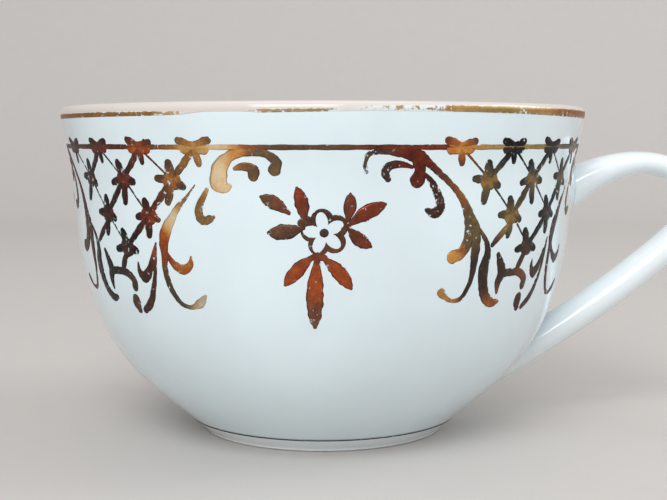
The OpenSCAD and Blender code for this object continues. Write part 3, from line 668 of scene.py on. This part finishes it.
# Petals: direction, length and width
line_petals = ((156, 2.9, 1.35), (20, 2.8, 1.35), (280, 2.7, 1.2))
hung_petals = ((106, 2.8, 1.65), (186, 3.0, 1.25), (-20, 2.6, 1.4), (264, 3.7, 1.5))
petal_tilt, petal_growth, petal_fade = 8, 0.07, -0.24
# A petal's shape: shares of its reach, and of its width there
petal_reach, petal_widths = np.array([0, 0.4, 0.75, 1]), np.array([1.05, 0.95, 1, 0.8])


def petal(middle, angle, length, width, turn):
    """A petal from a floret's middle outwards: a straight neck that swells a little and ends round."""
    out = towards(np.radians(angle))
    widths = petal_widths * width
    reach = petal_reach * (length - widths[-1] / 2)
    return stroke([(*(middle + out * r), w) for r, w in zip(reach, widths)], turn, fade=petal_fade)


def floret_at(row, number):
    """Middle of a floret, counted from the left in its row, which has one floret fewer than that above."""
    x, y = row_middles[row]
    return np.array([x + (number - (row_count - 1 - row) / 2) * floret_pitch, y])


def floret(row, number, turn):
    """A blunt middle, flat on the border line and round below it, with petals that vary a little in
    direction and length from one floret to the next. The lowest floret has no petal that points down."""
    middle = floret_at(row, number)
    tilt = petal_tilt * np.sin(5 * row + 3 * number)
    size = 1 + petal_growth * np.sin(3 * row + 5 * number)
    half_w, height = hung_middle if row else line_middle
    petals = hung_petals if row else line_petals
    if row == row_count - 1:
        petals = petals[:-1]
    strokes = [stroke([(*(middle + [x, -middle_drop]), height) for x in (-half_w, half_w)], turn)]
    return strokes + [petal(middle, a + tilt, size * length, width, turn) for a, length, width in petals]


fine_widths, broad_widths = (0.5, 0.36, 0.4), (0.9, 1.2, 0.8)
broad_sag, broad_ragged, bar_dull = 0.2, 0.06, 0.13


def bar(top, foot, widths, turn, sag=0.0, **edges):
    """A bar between two florets, drawn through a point that lies sag to the right of its middle."""
    places = (top, (top + foot) / 2 + [sag, 0], foot)
    return stroke([(*spot, w) for spot, w in zip(places, widths)], turn, dull=bar_dull, **edges)


# What hangs from a trellis: two bars, a leg, an arch and a drop
hanging_places = [
    [(-4.4, -11.2, 0.9), (-6.2, -12.7, 1.1), (-7.5, -13.9, 0.8)],
    [(0.3, -15, 1), (-0.9, -16.8, 1.2), (-1.6, -18.2, 0.9)],
    [(-6.1, -15.4, 0.8), (-5.4, -16.8, 1.5), (-4.9, -18.1, 1.8), (-5.4, -19.5, 1.4), (-5.3, -21, 0.6)],
    [(-4.9, -18.3, 1.4), (-2.8, -18.2, 1.2), (-0.6, -18.4, 1.3), (0.8, -19.4, 1.4), (0.8, -20.4, 1.4)],
    [(0.4, -22.3, 1.7), (0.4, -22.9, 2), (0.7, -23.8, 1.2)],
]


def trellis(turn):
    """Strokes of one trellis: the florets of each row, two bars down to each floret below the border line,
    and what hangs from its point."""
    strokes = []
    for row in range(row_count):
        for number in range(row_count - row):
            strokes += floret(row, number, turn)
    for row in range(row_count - 1):
        for number in range(row_count - 1 - row):
            left, right = floret_at(row, number), floret_at(row, number + 1)
            below = floret_at(row + 1, number)
            strokes.append(bar(left, below, fine_widths, turn))
            strokes.append(bar(right, below, broad_widths, turn, broad_sag, ragged=broad_ragged))
    return strokes + [stroke(places, turn) for places in hanging_places]


panels = {"front_left": -45, "front_right": 47, "back_right": 135, "back_left": 225}
for panel, turn in panels.items():
    piece(panel + "_trellis_gold", trellis(turn), gold, "fired_gold", panel + "_trellis", marks=gold_marks)

# Scroll transfers
# Gold C-scrolls and long S-scrolls that frame each trellis at its left and right. They were printed as a
# pair of transfers, one for each side, and laid against the trellis by hand.


def turned_places(places):
    """The places of a scroll with their degrees made mm."""
    return [(x * degree / mm, y, w) for x, y, w in places]


# Scrolls: degrees to the right of the panel's middle, mm above the border line and width in mm
left_scroll_places = [
    [(-38.9, -3.3, 0.6), (-39.2, -1.9, 0.7), (-38.2, -0.8, 0.8), (-35.4, -0.5, 1), (-31.4, -0.8, 1.6),
     (-28.6, -1.4, 2), (-26.6, -2.2, 1.2), (-23.8, -3.8, 1), (-20.8, -5.6, 1), (-18.5, -7.6, 1.3),
     (-16.9, -10.2, 1.9), (-17, -12.9, 1.8), (-18.4, -14.8, 1.7), (-20.4, -15.3, 2)],
    [(-29.2, -1.6, 1.6), (-28.4, -3, 1.7), (-28.8, -4.5, 2.2)],
    [(-34.7, -4.3, 0.9), (-35.3, -3.4, 1.2), (-34.4, -2.5, 1.2), (-32.2, -2.3, 1), (-30, -2.7, 0.5)],
    [(-27.2, -3.7, 0.5), (-25.7, -4.9, 1), (-24.3, -6.7, 1.3), (-23.8, -8, 1.5), (-24.5, -8.9, 1.7),
     (-25.7, -9, 1.3), (-26.7, -8.6, 0.7)],
    [(-16.1, -9.8, 0.8), (-15.1, -11.6, 1.5), (-15, -13.9, 1.7), (-15.1, -16.6, 1.3), (-15.4, -18.8, 0.9),
     (-16.8, -21, 0.8), (-18.5, -21.7, 0.7), (-20.5, -21.4, 0.7), (-22.3, -20.4, 1.4)],
    [(-14.8, -11.2, 0.5), (-12.3, -13.4, 0.9), (-11.7, -15.3, 1.4), (-12.3, -17.1, 1.9), (-12, -19.4, 1.9),
     (-10.7, -21.5, 1.7), (-8.6, -22.5, 1.5), (-6.8, -22.4, 0.8)],
]
right_scroll_places = [
    [(35.9, -3, 1.8), (36.2, -2, 1.5), (34.4, -0.9, 1.1), (31, -0.6, 1.3), (28, -1, 1.4), (26.2, -1.9, 1.9),
     (25, -3.2, 2.5), (24.7, -4.8, 2.7)],
    [(24.5, -5.5, 1.2), (26, -5.7, 1.2), (26.9, -5.3, 0.8)],
    [(28.2, -2.9, 0.6), (29.4, -2.65, 1.1), (30.9, -2.7, 1.3), (31.8, -3.2, 1.7), (31.8, -3.9, 1.5)],
    [(22.2, -5.8, 0.6), (21.3, -6.9, 0.9), (20.5, -8, 1.2), (20.2, -8.9, 1.3), (20.6, -9.8, 1.4),
     (21.7, -10.1, 1.3), (22.8, -9.8, 1.1), (23.4, -9.6, 0.6)],
    [(19.6, -5.2, 0.2), (17.7, -6.8, 0.5), (15.4, -8.4, 1), (13.8, -10, 1.4), (12.2, -11.7, 1.9),
     (11.4, -13.4, 1.8), (11.3, -15.1, 1.3), (11.1, -17, 1.1), (11.4, -18.8, 1.1), (12.3, -20.5, 1),
     (14.2, -22.2, 0.8), (16.6, -22.6, 0.7), (18.9, -21.9, 1.4), (20.3, -20.8, 0.5)],
    [(11.5, -14.4, 0.6), (12.6, -15.7, 0.9), (14, -16.7, 1.3), (15.9, -17.2, 1.5), (17.5, -16.4, 1.1),
     (17.9, -15.2, 0.3)],
    [(9.3, -13.6, 0.3), (8.7, -16, 0.6), (7.9, -18.6, 0.8), (6.3, -21.4, 1.2), (4.7, -22.9, 1.3),
     (2.9, -23.8, 1)],
    [(3.4, -16.7, 0.4), (3.6, -18, 1.1), (5, -18.7, 1.8), (6.7, -17.6, 1.4), (8, -15.7, 0.9),
     (9.2, -13.6, 0.3)],
]
for panel, turn in panels.items():
    for side, places in (("left", left_scroll_places), ("right", right_scroll_places)):
        strokes = [stroke(turned_places(line), turn) for line in places]
        name = f"{panel}_scrolls_{side}"
        piece(name + "_gold", strokes, gold, "fired_gold", name, marks=gold_marks)

# Flower sprays
# One gold transfer between the panels at the front, left and back: a flower drawn as a dark outline with an
# eye, and three groups of leaves that grow from it.
flower_mid, flower_turn = np.array([0.14, -11.6]), np.radians(101)
eye_r, eye_long = 0.62, 0.02
# The flower's white petals: number, distance of their middles from its eye, half length and half width
oval_count, oval_from, oval_long, oval_wide = 5, 1.6, 1.3, 0.8
# Its outer edge: radius between the petals, size and roundness of its waves, and where it is heavier
edge_r, edge_wave, edge_round, heavy_share, heavy_turn = 2.55, 0.8, 0.8, 0.15, np.radians(20)
outline_steps = 240
# Leaves: base and tip, width and sideways bow in mm
leaves = [
    ((-2.5, -10.2), (-3.5, -5.5), 1.9, 0.2), ((-2.7, -10.9), (-7.4, -11.6), 2.2, -0.2),
    ((-4.6, -8.9), (-8.4, -6.7), 1.9, 0.2), ((3.3, -10), (3.7, -6.3), 1.8, 0.1),
    ((3.4, -10.5), (8.4, -7.7), 2.1, -0.2), ((3.4, -10.9), (6.5, -13.5), 1.9, 0.25),
    ((-1.3, -14.7), (-5.3, -18.8), 2.0, 0.2), ((-0.8, -14.9), (-1.2, -24.8), 2.5, 0.15),
    ((-0.1, -14.9), (3.9, -19.3), 2.0, -0.25),
]
# A leaf's shape: shares of its length, and of its width there
leaf_shares = np.array([0, 0.12, 0.3, 0.5, 0.7, 0.86, 0.95, 1])
leaf_widths = np.array([0.3, 0.45, 0.8, 1, 0.96, 0.74, 0.5, 0.26])
leaf_ragged = 0.035
# Stems: mm to the right of the spray's middle, mm above the border line and width in mm
stems = [[(-2.9, -10.2, 1.2), (-2, -9.7, 0.9)], [(3.4, -10.6, 0.9), (2.7, -11.1, 0.6)],
         [(-1.4, -15, 0.9), (-0.6, -14.8, 1.3), (0.2, -15, 0.9)]]


def leaf(base, tip, width, bow, turn):
    """A leaf from base to tip: a narrow neck that swells to its width past the middle, bowed sideways, with
    a blunt tip."""
    base, tip = np.array(base), np.array(tip)
    ahead = tip - base
    side = np.array([ahead[1], -ahead[0]]) / np.linalg.norm(ahead)
    spots = base + np.outer(leaf_shares, ahead) + np.outer(bow * np.sin(np.pi * leaf_shares), side)
    return stroke([(*spot, w) for spot, w in zip(spots, leaf_widths * width)], turn, ragged=leaf_ragged)


def flower_outline(turn):
    """The flower's line: a film between five white oval petals, at one distance from the eye, and a wavy
    edge outside them that is heavier to the upper right."""
    angle = np.linspace(0, 2 * np.pi, outline_steps, endpoint=False)
    half_pitch = np.pi / oval_count
    off = (angle - flower_turn + half_pitch) % (2 * half_pitch) - half_pitch
    long_share, wide_share = np.cos(off) / oval_long, np.sin(off) / oval_wide
    stretch = long_share**2 + wide_share**2
    half_way = oval_from / oval_long * long_share
    inner = (half_way + np.sqrt(half_way**2 - stretch * ((oval_from / oval_long) ** 2 - 1))) / stretch
    waves = np.abs(np.cos(oval_count / 2 * (angle - flower_turn)))
    outer_edge = edge_r + edge_wave * waves**edge_round + heavy_share * np.cos(angle - heavy_turn)
    width = (outer_edge - inner) / 2
    reach = (outer_edge + inner) / 2 + across[:, None] * width
    flat = flower_mid + reach[..., None] * np.stack([np.cos(angle), np.sin(angle)], axis=-1)
    where, height = turn + flat[..., 0] * mm / degree, border_z + flat[..., 1] * mm
    edge = (1 - np.abs(across))[:, None] * width * mm
    points = on_wall(where, height, film_lift[:, None])
    return closed(np.concatenate([points, tarnish_and_reflection(where, height), edge[..., None]], axis=-1)[:, ::-1])


sprays = {"front_spray": 0, "back_spray": 180, "left_spray": 270}
for name, turn in sprays.items():
    strokes = [leaf(*form, turn) for form in leaves] + [stroke(places, turn) for places in stems]
    strokes.append(stroke([(*(flower_mid + [x, 0]), 2 * eye_r) for x in (-eye_long, eye_long)], turn))
    strokes.append(flower_outline(turn))
    piece(name + "_gold", strokes, gold, "fired_gold", name, marks=gold_marks)

# Floor and backdrop
# A pale sheet of card, swept up behind the cup in one bend so that it shows no corner.
sweep_r, sweep_near, sweep_front, sweep_far = 0.25, -4.0, -0.4, 0.45
sweep_half, sweep_top, sweep_rows = 4.0, 1.6, 24
card_pale, card_dark, card_rough = (0.60, 0.575, 0.55, 1), (0.57, 0.54625, 0.5225, 1), 0.55
fibre_size = 6 * mm
bend = np.linspace(0, np.pi / 2, sweep_rows)
sweep_back = sweep_far + sweep_r
sweep_y = np.concatenate([[sweep_near, sweep_front], sweep_far + sweep_r * np.sin(bend), [sweep_back]])
sweep_z = np.concatenate([[0, 0], sweep_r * (1 - np.cos(bend)), [sweep_top]])
sweep_x = np.array([-sweep_half, 0, sweep_half])
sheet = np.stack(np.broadcast_arrays(sweep_x[None, :], sweep_y[:, None], sweep_z[:, None]), axis=-1)
rows, columns = sheet.shape[:2]
corner = (np.arange(rows - 1)[:, None] * columns + np.arange(columns - 1)).reshape(-1, 1)
card_mesh = bpy.data.meshes.new("card")
card_mesh.from_pydata(sheet.reshape(-1, 3).tolist(), [], (corner + [0, 1, columns + 1, columns]).tolist())
card_mesh.shade_smooth()
card_finish, card_tree, card_shader, card_place = new_finish("pale_card")
fibre = noise(card_tree, card_place, fibre_size, detail=5.0, roughness=0.6)
card_tone = mixed(card_tree, fibre, card_pale, card_dark)
feed(card_tree, card_shader, {"Base Color": card_tone, "Roughness": card_rough})
card_mesh.materials.append(card_finish)
backdrop = bpy.data.objects.new("card", card_mesh)
bpy.context.scene.collection.objects.link(backdrop)

# Lamps
# Three large soft boxes in an even room: a strong one at the front, and weak ones at the right and overhead.
# Place and width in metres, and power in watts
lamps = {
    "key_box": ((-0.18, -0.80, 0.70), 0.60, 7.0),
    "fill_box": ((0.75, 0.1, 0.5), 0.5, 2.2),
    "top_box": ((0.0, 0.1, 0.9), 0.6, 0.9),
}
room_grey, room_level = (0.80, 0.80, 0.82, 1), 0.68
cup_middle = np.array([0, 0, lip_z / 2])
for name, (place, size, power) in lamps.items():
    lamp = bpy.data.lights.new(name, "AREA")
    lamp.size = size
    lamp.energy = power
    lamp_object = bpy.data.objects.new(name, lamp)
    lamp_object.location = place
    aim = Vector(cup_middle - np.array(place))
    lamp_object.rotation_euler = aim.to_track_quat("-Z", "Y").to_euler()
    bpy.context.scene.collection.objects.link(lamp_object)
room = bpy.data.worlds.new("room")
room.use_nodes = True
room_light = room.node_tree.nodes["Background"]
feed(room.node_tree, room_light, {"Color": room_grey, "Strength": room_level})
bpy.context.scene.world = room

# Camera
# The photograph was taken from the front, a hand's length away and just below the rim, looking a bit down.
focal_px, picture_w, sensor_w = 1214, 667, 36
camera_away, camera_z, nearest = 204.8 * mm, 48.29 * mm, 5 * mm
look_down, look_right = np.radians([5.22, 0.49])
camera_data = bpy.data.cameras.new("camera")
camera_data.sensor_width = sensor_w
camera_data.sensor_fit = "HORIZONTAL"
camera_data.lens = focal_px / picture_w * sensor_w
camera_data.clip_start = nearest
camera = bpy.data.objects.new("camera", camera_data)
camera.location = (0, -camera_away, camera_z)
camera.rotation_euler = (upright - look_down, 0, -look_right)
bpy.context.scene.collection.objects.link(camera)
bpy.context.scene.camera = camera
bpy.context.scene.view_settings.view_transform = "Standard"
